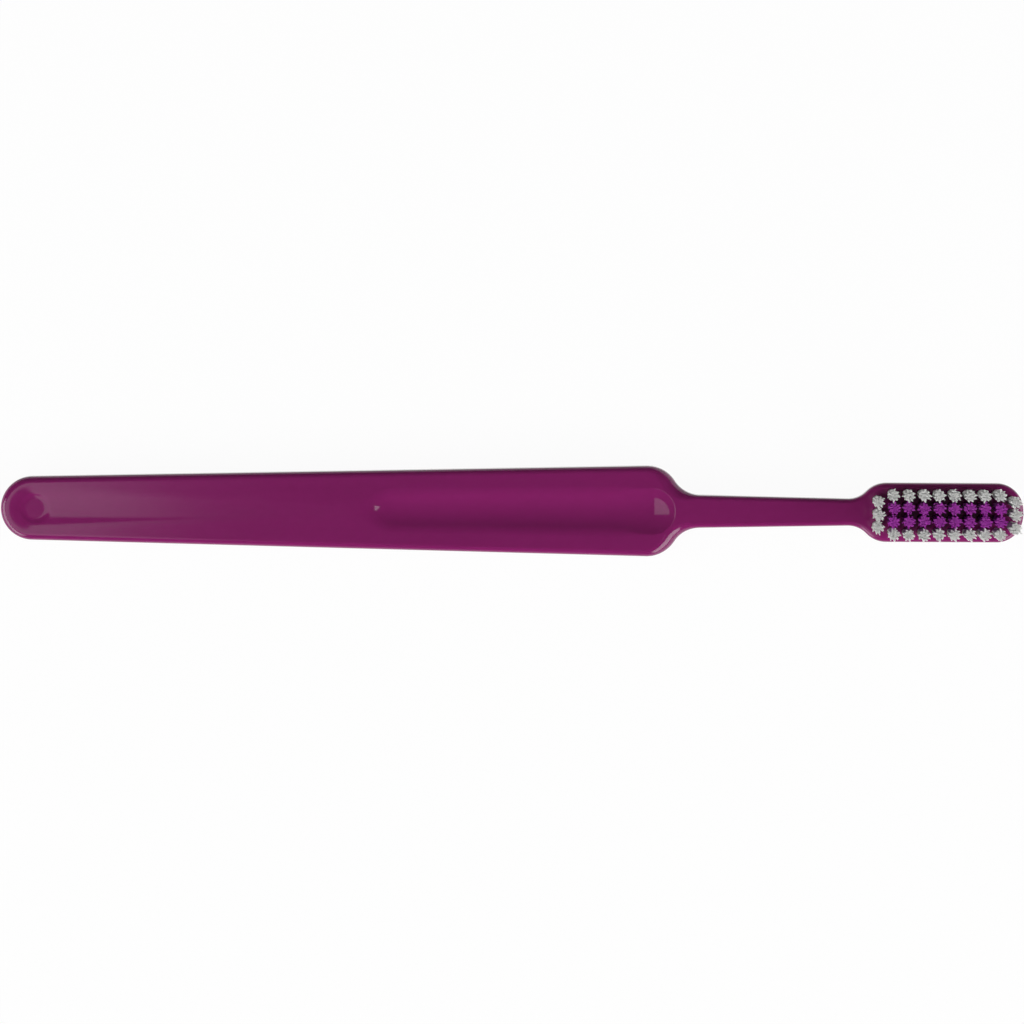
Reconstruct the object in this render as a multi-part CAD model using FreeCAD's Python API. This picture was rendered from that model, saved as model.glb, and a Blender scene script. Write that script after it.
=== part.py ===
import FreeCAD, Part
import math
import os

# A manual toothbrush in millimetres. It lies on the flat back of its grip with the tufts pointing up.
# Stations run along the brush from the butt end of the grip to the tip of the head.
# The origin is under the middle of the brush, +X runs to the head and +Z is the way the tufts point.

Vector = FreeCAD.Vector

# Plan of the handle; its neck runs from the widest part of the grip, the shoulder, to the flare of the head
OVERALL_LENGTH = 190.0
NECK_LENGTH = 37.37
BUTT_WIDTH = 11.8
SHOULDER_WIDTH = 16.8
SHOULDER_ROUND = 6.1
SHOULDER_HOLLOW = 5.7
NECK_WIDTH = 6.05
NECK_TAPER = 1.1
HEAD_HOLLOW = 4.7
HEAD_ROUND = 5.2
HEAD_CORNER = 5.0
HEAD_NOSE = 8.4

# Field of tufts and the plastic round its holes
TUFT_ROWS = ("white_upper", "purple_upper", "purple_lower", "white_lower")
TUFT_COLUMNS = 8
END_TUFTS = 3
HOLE_DIAMETER = 1.7
ROW_WALL = 0.66
COLUMN_WALL = 1.07
HEAD_WALL = 1.1
HEAD_FLOOR = 1.2
HEEL_MARGIN = 5.35
TOE_MARGIN = 2.35

# Side view of the handle
NECK_RISE = 1.3
NECK_RISE_RADIUS = 15.0
NECK_RISE_LEAD = 1.0
BUTT_DROP = 0.8
GRIP_EDGE = 1.2
SHOULDER_EDGE = 1.9
HEAD_EDGE = 0.9
BACK_EDGE = 1.4

# Thumb rest, a round-ended trough in the front of the grip with a rounded lip
THUMB_REST_LENGTH = 56.0
THUMB_REST_MARGIN = 2.85
THUMB_REST_END_MARGIN = 3.4
THUMB_REST_GAP = 0.25
THUMB_REST_RADIUS = 7.5
THUMB_REST_LIP = 5.5

# Hollow in the front of the grip, from the butt to short of the thumb rest
HOLLOW_RADIUS = 24.0
HOLLOW_DEPTH = 0.26
HOLLOW_END_DEPTH = 0.03
HOLLOW_GAP = 3.2

# Round ejector marks in the front of the handle
BUTT_MARK_DIAMETER = 4.8
NECK_MARK_DIAMETER = 3.2
NECK_MARK_GAP = 1.25
MARK_DEPTH = 0.05

# Tufts and the anchors that hold them
TUFT_CLEARANCE = 0.02
TUFT_HEIGHT = 10.5
TUFT_TIP_GAP = 0.16
TUFT_LOBES = 9
LOBE_DEPTH = 0.16
LOBE_TURN = 137.5
ANCHOR_BITE = 0.2
ANCHOR_HEIGHT = 1.5
ANCHOR_THICKNESS = 0.28
ANCHOR_FOLD = 0.6
ANCHOR_COVER = 1.3

# Slack by which a cutting shape passes the face that it cuts
REACH = 5.0

# Sizes that follow from those above
row_pitch = HOLE_DIAMETER + ROW_WALL
column_pitch = HOLE_DIAMETER + COLUMN_WALL
hole_depth = ANCHOR_FOLD + ANCHOR_HEIGHT + ANCHOR_COVER
head_width = (len(TUFT_ROWS) - 1) * row_pitch + HOLE_DIAMETER + 2 * HEAD_WALL
front = NECK_RISE + HEAD_FLOOR + hole_depth
hole_floor = front - hole_depth
toe_station = OVERALL_LENGTH - TOE_MARGIN
heel_station = toe_station - (TUFT_COLUMNS + 1) * column_pitch
neck_end = heel_station - HEEL_MARGIN
grip_length = neck_end - NECK_LENGTH
crown_radius = (grip_length ** 2 + BUTT_DROP ** 2) / (2 * BUTT_DROP)

# Edges are rounded no further than the wall of the butt allows
butt_thickness = front - BUTT_DROP
grip_edge = min(GRIP_EDGE, butt_thickness / 2)
shoulder_edge = min(SHOULDER_EDGE, butt_thickness / 2)
back_edge = min(BACK_EDGE, butt_thickness / 3)


def along(station):
    """Return the X of a station."""
    return station - OVERALL_LENGTH / 2


def front_height(station):
    """Return the height of the handle's front, which falls along an arc from the shoulder to the butt."""
    back_from_shoulder = max(0.0, grip_length - station)
    return front - crown_radius + math.sqrt(crown_radius ** 2 - back_from_shoulder ** 2)


def grip_half_width(station):
    """Return the half width of the grip, which grows evenly from its butt to its shoulder."""
    butt_radius = BUTT_WIDTH / 2
    share = (station - butt_radius) / (grip_length - butt_radius)
    return butt_radius + (SHOULDER_WIDTH / 2 - butt_radius) * min(1.0, share)


def arc(start, heading, end_heading, radius):
    """Return an arc that leaves a point at one heading and ends at another, and its end point."""
    side = math.copysign(radius, end_heading - heading)
    centre = start + Vector(-math.sin(heading), math.cos(heading), 0) * side

    def on_arc(at_heading):
        return centre + Vector(math.sin(at_heading), -math.cos(at_heading), 0) * side

    end = on_arc(end_heading)
    return Part.Arc(start, on_arc((heading + end_heading) / 2), end).toShape(), end


def ogee(start, heading, half_width, end_heading, first_radius, second_radius):
    """Return the two arcs that lead smoothly from a point to another half width, and their end point."""
    step = half_width - start.y
    level = first_radius * math.cos(heading) + second_radius * math.cos(end_heading)
    slope = math.acos((level - abs(step)) / (first_radius + second_radius))
    slope = math.copysign(slope, step)
    first, middle = arc(start, heading, slope, first_radius)
    second, end = arc(middle, slope, end_heading, second_radius)
    return [first, second], end


def half_outline():
    """Return the edges of the plan's +Y side from butt to tip, the shoulder's bend and the neck's start."""
    butt_radius = BUTT_WIDTH / 2
    butt_end = Vector(along(0), 0, 0)
    shoulder = Vector(along(grip_length), SHOULDER_WIDTH / 2, 0)
    to_shoulder = shoulder - Vector(along(butt_radius), 0, 0)
    grip_heading = math.atan2(to_shoulder.y, to_shoulder.x) - math.asin(butt_radius / to_shoulder.Length)
    neck_heading = -math.radians(NECK_TAPER)

    butt, grip_start = arc(butt_end, math.pi / 2, grip_heading, butt_radius)
    shoulder_curve, neck_start = ogee(
        shoulder, grip_heading, NECK_WIDTH / 2, neck_heading, SHOULDER_ROUND, SHOULDER_HOLLOW
    )
    shoulder_bend = max((vertex.Point for vertex in shoulder_curve[0].Vertexes), key=lambda point: point.x)
    straight_neck = along(neck_end) - neck_start.x
    neck_tip = neck_start + Vector(1, math.tan(neck_heading), 0) * straight_neck
    head_curve, head_start = ogee(neck_tip, neck_heading, head_width / 2, 0.0, HEAD_HOLLOW, HEAD_ROUND)

    corner_rise = head_width / 2 - HEAD_CORNER
    corner_angle = math.asin(corner_rise / (HEAD_NOSE - HEAD_CORNER))
    corner_x = along(OVERALL_LENGTH) - HEAD_NOSE + corner_rise / math.tan(corner_angle)
    head_end = Vector(corner_x, head_width / 2, 0)
    corner, nose_start = arc(head_end, 0.0, corner_angle - math.pi / 2, HEAD_CORNER)
    nose, _ = arc(nose_start, corner_angle - math.pi / 2, -math.pi / 2, HEAD_NOSE)

    grip_side = Part.makeLine(grip_start, shoulder)
    neck_side = Part.makeLine(neck_start, neck_tip)
    head_side = Part.makeLine(head_start, head_end)
    edges = [butt, grip_side, *shoulder_curve, neck_side, *head_curve, head_side, corner, nose]
    return edges, shoulder_bend, neck_start


def plan_prism(edges):
    """Return the handle's plan, mirrored to both sides and raised past its full height."""
    mirrored = [edge.mirror(Vector(0, 0, 0), Vector(0, 1, 0)) for edge in edges]
    outline = Part.Wire(Part.__sortEdges__(edges + mirrored))
    prism = Part.Face(outline).extrude(Vector(0, 0, front + 2 * REACH))
    prism.translate(Vector(0, 0, -REACH))
    return prism


def side_prism(neck_start):
    """Return the handle's side view, drawn round from the butt by the back, the tip and the front."""
    rise_angle = math.acos(1 - NECK_RISE / (2 * NECK_RISE_RADIUS))
    rise_run = NECK_RISE_RADIUS * math.sin(rise_angle)
    half_run = NECK_RISE_RADIUS * math.sin(rise_angle / 2)
    half_rise = NECK_RISE_RADIUS * (1 - math.cos(rise_angle / 2))
    butt = along(0) - REACH
    rise_start = neck_start.x + NECK_RISE_LEAD
    rise_middle = rise_start + rise_run
    rise_end = rise_middle + rise_run
    tip = along(OVERALL_LENGTH) + REACH

    def at(x, z):
        return Vector(x, 0, z)

    lower_rise = Part.Arc(
        at(rise_start, 0), at(rise_start + half_run, half_rise), at(rise_middle, NECK_RISE / 2)
    )
    upper_rise = Part.Arc(
        at(rise_middle, NECK_RISE / 2),
        at(rise_end - half_run, NECK_RISE - half_rise),
        at(rise_end, NECK_RISE),
    )
    crown = Part.Arc(
        at(along(grip_length), front),
        at(along(grip_length / 2), front_height(grip_length / 2)),
        at(butt, front_height(-REACH)),
    )
    edges = [
        Part.makeLine(at(butt, 0), at(rise_start, 0)),
        lower_rise.toShape(),
        upper_rise.toShape(),
        Part.makeLine(at(rise_end, NECK_RISE), at(tip, NECK_RISE)),
        Part.makeLine(at(tip, NECK_RISE), at(tip, front)),
        Part.makeLine(at(tip, front), at(along(grip_length), front)),
        crown.toShape(),
        Part.makeLine(at(butt, front_height(-REACH)), at(butt, 0)),
    ]
    width = SHOULDER_WIDTH + head_width
    prism = Part.Face(Part.Wire(edges)).extrude(Vector(0, 2 * width, 0))
    prism.translate(Vector(0, -width, 0))
    return prism


def rims(solid, in_front):
    """Return the numbered edges that run round the front or the back of the handle's blank."""
    numbered = [(number, edge) for number, edge in enumerate(solid.Edges, 1) if edge.BoundBox.XLength > 1e-6]
    return [(number, edge) for number, edge in numbered if (edge.CenterOfMass.z > front / 2) == in_front]


def round_front(blank, shoulder_bend, neck_start):
    """Return the blank with its front rim rounded: most at the shoulder's bend and least from the neck on."""
    shoulder_x = along(grip_length)

    def rounding(x):
        if x < shoulder_bend.x:
            share = max(0.0, (x - shoulder_x) / (shoulder_bend.x - shoulder_x))
            return grip_edge + (shoulder_edge - grip_edge) * share
        share = min(1.0, (x - shoulder_bend.x) / (neck_start.x - shoulder_bend.x))
        return shoulder_edge + (HEAD_EDGE - shoulder_edge) * share

    # Each edge's two radii are given in the order in which the first edge goes round the rim
    rim = rims(blank, True)
    first = rim[0][1]
    first_to_head = first.valueAt(first.LastParameter).x > first.valueAt(first.FirstParameter).x
    radii = []
    for number, edge in rim:
        to_head = first_to_head == ((edge.CenterOfMass.y > 0) == (first.CenterOfMass.y > 0))
        ends = sorted((vertex.X for vertex in edge.Vertexes), reverse=not to_head)
        radii.append((number, rounding(ends[0]), rounding(ends[1])))

    document = FreeCAD.newDocument("handle")
    base = document.addObject("Part::Feature", "blank")
    base.Shape = blank
    rounded = document.addObject("Part::Fillet", "rounded")
    rounded.Base = base
    rounded.Edges = radii
    document.recompute()
    return rounded.Shape


def round_ended_bar(start, end, radius):
    """Return a round bar with a ball at each end, the cutter of a trough."""
    bar = Part.makeCylinder(radius, (end - start).Length, start, end - start)
    # The poles of the balls point sideways, clear of the trough
    balls = [Part.makeSphere(radius, centre, Vector(0, 1, 0)) for centre in (start, end)]
    return bar.multiFuse(balls).removeSplitter()


def thumb_rest_end(shoulder_bend):
    """Return the station of the thumb rest's round end, just clear of the rounding at the shoulder's bend."""
    half_width = SHOULDER_WIDTH / 2 - THUMB_REST_END_MARGIN
    reach = half_width + shoulder_edge + THUMB_REST_GAP
    centre = shoulder_bend.x - math.sqrt(reach ** 2 - shoulder_bend.y ** 2)
    return centre - along(0) + half_width


def thumb_rest(rest_start, rest_end):
    """Return the cutter of the thumb rest, a trough that widens and deepens with the grip."""
    centres = []
    for rim, inward, margin in ((rest_start, 1, THUMB_REST_MARGIN), (rest_end, -1, THUMB_REST_END_MARGIN)):
        half_width = grip_half_width(rim) - margin
        station = rim + inward * half_width
        spread = THUMB_REST_RADIUS + THUMB_REST_LIP
        depth = spread - math.sqrt(spread ** 2 - half_width ** 2)
        centres.append(Vector(along(station), 0, front_height(station) - depth + THUMB_REST_RADIUS))
    return round_ended_bar(*centres, THUMB_REST_RADIUS)


def thumb_rest_rim(solid):
    """Return the edges where the trough of the thumb rest meets the front of the grip."""
    def in_trough(face):
        return math.isclose(getattr(face.Surface, "Radius", 0.0), THUMB_REST_RADIUS)

    rim = []
    for edge in solid.Edges:
        sides = [in_trough(face) for face in solid.ancestorsOfType(edge, Part.Face)]
        if any(sides) and not all(sides):
            rim.append(edge)
    return rim


def butt_hollow(floor, hollow_end):
    """Return the cutter of the hollow, deepest at the butt and shallower towards its end."""
    half_width = math.sqrt(2 * HOLLOW_RADIUS * HOLLOW_END_DEPTH - HOLLOW_END_DEPTH ** 2)
    station = hollow_end - half_width
    start = Vector(along(BUTT_WIDTH / 2), 0, floor + HOLLOW_RADIUS)
    end = Vector(along(station), 0, front_height(station) - HOLLOW_END_DEPTH + HOLLOW_RADIUS)
    return round_ended_bar(start, end, HOLLOW_RADIUS)


def round_mark(station, height, diameter):
    """Return the cutter of a round mark sunk into the front of the handle from the given height."""
    return Part.makeCylinder(diameter / 2, REACH, Vector(along(station), 0, height - MARK_DEPTH))


def hole(mouth):
    """Return the cutter of the blind hole of one tuft."""
    return Part.makeCylinder(HOLE_DIAMETER / 2, hole_depth, Vector(mouth.x, mouth.y, hole_floor))


def handle(mouths, anchors):
    """Return the handle: its plan met by its side view, rounded, then hollowed, marked and drilled."""
    edges, shoulder_bend, neck_start = half_outline()
    blank = plan_prism(edges).common(side_prism(neck_start))
    blank = round_front(blank, shoulder_bend, neck_start)
    blank = blank.makeFillet(back_edge, [edge for _, edge in rims(blank, False)])

    rest_end = thumb_rest_end(shoulder_bend)
    rest_start = rest_end - THUMB_REST_LENGTH
    blank = blank.cut(thumb_rest(rest_start, rest_end))
    blank = blank.makeFillet(THUMB_REST_LIP, thumb_rest_rim(blank))

    butt_centre = BUTT_WIDTH / 2
    butt_floor = front_height(butt_centre) - HOLLOW_DEPTH
    neck_mark = heel_station - HOLE_DIAMETER / 2 - NECK_MARK_GAP - NECK_MARK_DIAMETER / 2
    cutters = [
        butt_hollow(butt_floor, rest_start - HOLLOW_GAP),
        round_mark(butt_centre, butt_floor, BUTT_MARK_DIAMETER),
        round_mark(neck_mark, front, NECK_MARK_DIAMETER),
    ]
    return blank.cut(cutters).cut([hole(mouth) for mouth in mouths]).cut(anchors)


def tuft_mouths():
    """Return the mouth of each tuft's hole under the name of its tuft."""
    mouths = {}
    for row, name in enumerate(TUFT_ROWS):
        y = ((len(TUFT_ROWS) - 1) / 2 - row) * row_pitch
        for column in range(1, TUFT_COLUMNS + 1):
            mouths[f"tuft_{name}_{column}"] = Vector(along(heel_station + column * column_pitch), y, front)
    for name, station in (("white_heel", heel_station), ("white_toe", toe_station)):
        for number in range(END_TUFTS):
            y = ((END_TUFTS - 1) / 2 - number) * row_pitch
            mouths[f"tuft_{name}_{number + 1}"] = Vector(along(station), y, front)
    return mouths


def anchor(mouth):
    """Return one anchor, a flat clip on edge across its hole, over the fold of the tuft."""
    length = HOLE_DIAMETER + 2 * ANCHOR_BITE
    corner = Vector(mouth.x - length / 2, mouth.y - ANCHOR_THICKNESS / 2, hole_floor + ANCHOR_FOLD)
    return Part.makeBox(length, ANCHOR_THICKNESS, ANCHOR_HEIGHT, corner)


def lobed_ring(centre, radius, lobe_depth, turn):
    """Return a closed ring of equal arcs that bulge outward, the outline of a bundle of filaments."""
    def on_ring(lobes, ring_radius):
        angle = turn + 2 * math.pi * lobes / TUFT_LOBES
        return centre + Vector(math.cos(angle), math.sin(angle), 0) * ring_radius

    valley = radius - lobe_depth
    arcs = [
        Part.Arc(on_ring(lobe, valley), on_ring(lobe + 0.5, radius), on_ring(lobe + 1, valley)).toShape()
        for lobe in range(TUFT_LOBES)
    ]
    return Part.Wire(arcs)


def tuft(mouth, clip, turn):
    """Return one tuft: a root that fills its hole, slotted for its anchor, and a spreading bundle above."""
    root_radius = HOLE_DIAMETER / 2 - TUFT_CLEARANCE
    tip_radius = (min(row_pitch, column_pitch) - TUFT_TIP_GAP) / 2
    root = Part.makeCylinder(root_radius, hole_depth, Vector(mouth.x, mouth.y, hole_floor))
    tip = mouth + Vector(0, 0, TUFT_HEIGHT)
    bundle = Part.makeLoft(
        [lobed_ring(mouth, root_radius, 0.0, turn), lobed_ring(tip, tip_radius, LOBE_DEPTH, turn)], True, True
    )
    return root.cut(clip).fuse(bundle)


def export(shape, node):
    """Write one piece to its own file."""
    shape.exportStep(f"parts/{node}.step")


def main():
    """Make every piece and write it."""
    os.makedirs("parts", exist_ok=True)
    mouths = tuft_mouths()
    anchors = {node: anchor(mouth) for node, mouth in mouths.items()}
    export(handle(list(mouths.values()), list(anchors.values())), "handle")
    export(Part.makeCompound(list(anchors.values())), "tuft_anchors")
    for number, (node, mouth) in enumerate(mouths.items()):
        export(tuft(mouth, anchors[node], math.radians(LOBE_TURN * number)), node)


main()
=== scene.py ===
import math

import bmesh
import bpy
import numpy as np
from mathutils import Matrix, Vector


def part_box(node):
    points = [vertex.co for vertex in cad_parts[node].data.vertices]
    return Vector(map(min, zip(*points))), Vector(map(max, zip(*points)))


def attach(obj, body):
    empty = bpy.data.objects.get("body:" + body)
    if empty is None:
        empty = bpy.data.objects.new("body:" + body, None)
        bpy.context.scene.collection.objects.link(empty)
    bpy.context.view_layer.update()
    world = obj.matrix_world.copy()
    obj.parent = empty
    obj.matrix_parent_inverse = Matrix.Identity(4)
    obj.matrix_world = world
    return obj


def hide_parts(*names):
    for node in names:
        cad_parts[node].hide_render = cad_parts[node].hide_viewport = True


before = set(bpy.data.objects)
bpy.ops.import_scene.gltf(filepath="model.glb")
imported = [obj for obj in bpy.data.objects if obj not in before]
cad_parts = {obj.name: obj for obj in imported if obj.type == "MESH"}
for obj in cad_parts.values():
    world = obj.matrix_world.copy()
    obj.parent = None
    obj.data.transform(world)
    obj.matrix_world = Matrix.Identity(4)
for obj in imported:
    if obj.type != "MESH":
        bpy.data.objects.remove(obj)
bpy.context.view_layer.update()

bl_info = {
    "name": "Manual toothbrush",
    "version": (1, 0, 0),
    "blender": (4, 5, 0),
    "location": "View3D > Sidebar > Toothbrush",
    "description": "Dresses the frame of a toothbrush with its moulded handle, filament tufts and anchors",
    "category": "Mesh",
}

# All sizes are in metres. X runs along the brush to its head, and Z is the way the tufts point.
MM = 0.001
WHITE = (1.0, 1.0, 1.0, 1.0)

# Fineness of the surfaces
PLAN_SAMPLES = 20000
MERGE_DISTANCE = 1e-4 * MM
CREASE_ANGLE = math.radians(35)
FLOOR_SIDES = 64
BANK_POINTS = 32

# Names and places in the frame
BODY = "root"
ANCHORS = "tuft_anchors"
TUFTS = sorted(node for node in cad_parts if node.startswith("tuft_") and node != ANCHORS)
TUFT_BOXES = {node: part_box(node) for node in TUFTS}
TUFT_CENTRES = {node: (low + high) / 2 for node, (low, high) in TUFT_BOXES.items()}
HANDLE_LOW, HANDLE_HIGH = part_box("handle")
ANCHOR_LOW, ANCHOR_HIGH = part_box(ANCHORS)
BUTT_X = HANDLE_LOW.x
TIP_X = HANDLE_HIGH.x
FRONT_Z = HANDLE_HIGH.z
HEEL_X = min(centre.x for centre in TUFT_CENTRES.values())
HOLE_FLOOR_Z = min(low.z for low, _ in TUFT_BOXES.values())
FIELD_HEEL = Vector((HEEL_X, 0.0))


def length(name, millimetres, description):
    """Return a property that holds a length, with its default given in millimetres."""
    return bpy.props.FloatProperty(
        name=name, description=description, default=millimetres * MM,
        unit="LENGTH", subtype="DISTANCE", precision=5,
    )


def point(name, millimetres, description):
    """Return a property that holds a point in space, with its default given in millimetres."""
    return bpy.props.FloatVectorProperty(
        name=name, description=description, default=[each * MM for each in millimetres],
        unit="LENGTH", subtype="TRANSLATION",
    )


def angle(name, degrees, description):
    """Return a property that holds an angle, with its default given in degrees."""
    return bpy.props.FloatProperty(
        name=name, description=description, default=math.radians(degrees), unit="ROTATION", subtype="ANGLE"
    )


def share(name, default, description):
    """Return a property that holds a share of one."""
    return bpy.props.FloatProperty(
        name=name, description=description, default=default, min=0.0, max=1.0, subtype="FACTOR"
    )


def strength(name, default, description):
    """Return a property that holds the brightness of a lamp, where 1 shows as white."""
    return bpy.props.FloatProperty(name=name, description=description, default=default, min=0.0)


def colour(name, default, description):
    """Return a property that holds a linear colour."""
    return bpy.props.FloatVectorProperty(
        name=name, description=description, default=default, size=3, min=0.0, max=1.0, subtype="COLOR"
    )


class HandleSettings(bpy.types.PropertyGroup):
    """Sizes and finish of the moulded handle."""

    butt_width: length("Butt width", 11.8, "Width of the round butt end")
    shoulder_width: length("Shoulder width", 16.8, "Width of the grip at its shoulder")
    shoulder_round: length("Shoulder round", 6.1, "Radius of the shoulder's outer curve")
    shoulder_hollow: length("Shoulder hollow", 5.7, "Radius of the curve from the shoulder into the neck")
    neck_length: length("Neck length", 37.37, "From the shoulder to the flare of the head")
    neck_width: length("Neck width", 6.05, "Width of the neck where it leaves the shoulder")
    neck_taper: angle("Neck taper", 1.1, "Slope of each side of the neck")
    head_hollow: length("Head hollow", 4.7, "Radius of the curve from the neck into the head")
    head_round: length("Head round", 5.2, "Radius of the head's rear corners")
    head_width: length("Head width", 10.98, "Width of the head")
    head_corner: length("Head corner", 5.0, "Radius of the head's front corners")
    head_nose: length("Head nose", 8.4, "Radius of the head's blunt tip")
    heel_margin: length("Heel margin", 5.35, "From the flare of the head to the first tufts")
    neck_rise: length("Neck rise", 1.3, "Height of the neck's back above the grip's back")
    neck_rise_radius: length("Neck rise radius", 15.0, "Radius of the two arcs of the rise")
    neck_rise_lead: length("Neck rise lead", 1.0, "From the start of the neck to the start of the rise")
    butt_drop: length("Butt drop", 0.8, "Fall of the front from the shoulder to the butt")
    grip_edge: length("Grip edge", 1.2, "Rounding of the grip's front rim")
    shoulder_edge: length("Shoulder edge", 2.5, "Rounding of the front rim half way down the shoulder")
    head_edge: length("Head edge", 0.9, "Rounding of the front rim of the neck and head")
    back_edge: length("Back edge", 1.4, "Rounding of the back rim")
    thumb_rest_length: length("Thumb rest length", 58.55, "Length of the thumb rest")
    thumb_rest_margin: length("Thumb rest margin", 2.85, "From its start to either side of the grip")
    thumb_rest_end_margin: length("Thumb rest end margin", 3.4, "From its end to either side of the grip")
    thumb_rest_gap: length("Thumb rest gap", 0.22, "From its end to the rounding of the shoulder's bend")
    thumb_rest_radius: length("Thumb rest radius", 7.5, "Radius of the thumb rest's trough")
    thumb_rest_lip: length("Thumb rest lip", 5.5, "Radius of the thumb rest's rounded lip")
    thumb_rest_end_radius: length("Thumb rest end radius", 9.3, "Radius of the bowl at the end of the trough")
    wall_slope: angle("Wall slope", 21.5, "Steepest slope of the walls of the thumb rest and the hollow")
    thumb_rest_stretch: bpy.props.FloatProperty(
        name="Thumb rest stretch", default=1.6,
        description="How many times longer than wide the start of the trough is",
    )
    hollow_radius: length("Hollow radius", 24.0, "Radius of the hollow in the grip")
    hollow_lip: length("Hollow lip", 20.0, "Radius of the hollow's soft lip")
    hollow_depth: length("Hollow depth", 0.23, "Depth of the hollow at the butt")
    hollow_end_depth: length("Hollow end depth", 0.004, "Depth of the hollow at its other end")
    hollow_gap: length("Hollow gap", 3.2, "From the hollow to the thumb rest")
    butt_mark: length("Butt mark", 4.8, "Diameter of the round mark in the butt")
    butt_mark_shift: length("Butt mark shift", 0.55, "From the middle of the round butt to that mark's")
    neck_mark: length("Neck mark", 3.2, "Diameter of the round mark behind the tufts")
    neck_mark_gap: length("Neck mark gap", 1.25, "From that mark to the first tufts")
    mark_depth: length("Mark depth", 0.05, "Depth of a round mark")
    mark_wall: length("Mark wall", 1.2, "Width of a mark's sloping wall")
    rim_step: length("Rim step", 0.08, "Grid step along the end of the thumb rest and the shoulder")
    fine_step: length("Fine step", 0.22, "Grid step along the curves")
    coarse_step: length("Coarse step", 0.8, "Grid step along the straight stretches")
    plastic: colour("Plastic", (0.185, 0.0105, 0.1), "Colour of the plastic")
    roughness: share("Roughness", 0.06, "Roughness of the polished plastic")


class TuftSettings(bpy.types.PropertyGroup):
    """Sizes and finish of the tufts."""

    filament: length("Filament", 0.22, "Diameter of a filament")
    packing: length("Packing", 0.135, "Distance between filaments in their hole")
    hole: length("Hole", 1.7, "Diameter of the hole of a tuft")
    tip_reach: length("Tip reach", 1.14, "Mean radius of a tuft at its tips")
    tip_scatter: length("Tip scatter", 0.03, "Scatter of the tips")
    tip_unevenness: length("Tip unevenness", 0.04, "Scatter of the tips' heights")
    lean: length("Lean", 0.05, "Scatter of the middle of a tuft at its tips")
    stray_share: share("Stray share", 0.012, "Share of the filaments that stray")
    stray_reach: length("Stray reach", 0.16, "Scatter of the stray tips")
    jags: bpy.props.IntProperty(
        name="Jags", description="Points of the star that a tuft's tips form", default=9, min=3
    )
    shortest_jag: share("Shortest jag", 0.08, "How far the shortest jag stands out and its gaps in")
    longest_jag: share("Longest jag", 0.34, "How far the longest jag stands out and its gaps in")
    jag_wander: share("Jag wander", 0.25, "How far a jag may stray, as a share of the distance between jags")
    fan: share("Fan", 0.02, "How far tips lean out for their distance from the heel of the field")
    jag_pull: share("Jag pull", 0.6, "How far the outermost tips turn to the nearest jag")
    seed: bpy.props.IntProperty(name="Seed", description="Start of the random numbers", default=11)
    white_shade: colour("White, shaded", (0.77, 0.775, 0.76), "Colour of the darkest white filaments")
    white_light: colour("White, light", (0.91, 0.905, 0.89), "Colour of the lightest white filaments")
    purple_shade: colour("Purple, shaded", (0.38, 0.025, 0.4), "Colour of the darkest purple filaments")
    purple_light: colour("Purple, light", (0.58, 0.045, 0.6), "Colour of the lightest purple filaments")
    roughness: share("Roughness", 0.42, "Roughness of a filament")
    translucency: share("Translucency", 0.25, "Share of the light that passes through a filament")


class AnchorSettings(bpy.types.PropertyGroup):
    """Finish of the anchors."""

    brass: colour("Brass", (0.75, 0.58, 0.28), "Colour of the wire")
    tarnish: colour("Tarnish", (0.42, 0.29, 0.13), "Colour of the drawn lines")


class StageSettings(bpy.types.PropertyGroup):
    """Camera, light and floor."""

    view_width: length("View width", 190.1, "Width of the picture at the brush")
    view_distance: length("View distance", 1800.0, "From the camera to the brush")
    view_tilt: angle("View tilt", 2.8, "Lean of the camera to the upper side of the picture")
    view_roll: angle("View roll", 0.28, "Turn of the picture")
    view_drop: length("View drop", 0.22, "From the brush's middle to the picture's, across the brush")
    floor_size: length("Floor", 6000.0, "Radius of the floor")
    floor_gap: length("Floor gap", 0.2, "Gap between the floor and the brush")
    floor_shade: colour("Floor, shaded", (0.78, 0.78, 0.78), "Darkest colour of the floor")
    floor_light: colour("Floor, light", (0.82, 0.82, 0.82), "Lightest colour of the floor")
    floor_glow: share("Floor glow", 0.95, "Share of the floor's white that no shadow darkens")
    bank_corner: point("Bank corner", (-465.0, 510.0, 6000.0), "Corner of the far bank of light on the left")
    bank_size: length("Bank size", 4500.0, "Radius of that bank, a quarter disc")
    bank_glow: strength("Bank glow", 1.3, "Brightness of that bank")
    spot_place: point("Spot place", (446.0, -150.0, 1020.0), "Place of the small lamp on the right")
    spot_width: length("Spot width", 260.0, "Width of that lamp")
    spot_height: length("Spot height", 150.0, "Height of that lamp")
    spot_glow: strength("Spot glow", 3.0, "Brightness of that lamp")
    box_place: point("Box place", (960.0, -510.0, 510.0), "Place of the right soft box in front")
    box_width: length("Box width", 1700.0, "Width of the two soft boxes")
    box_height: length("Box height", 800.0, "Height of the two soft boxes")
    box_glow: strength("Box glow", 4.1, "Brightness of the two soft boxes")
    ceiling: share("Ceiling", 0.08, "Strength of the light from all round")


class Value:
    """A value in a material. Adding to it or multiplying it adds a Math node."""

    def __init__(self, finish, socket):
        self.finish = finish
        self.socket = socket

    def __add__(self, other):
        return self.finish.math("ADD", self, other)

    def __mul__(self, other):
        return self.finish.math("MULTIPLY", self, other)


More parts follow.
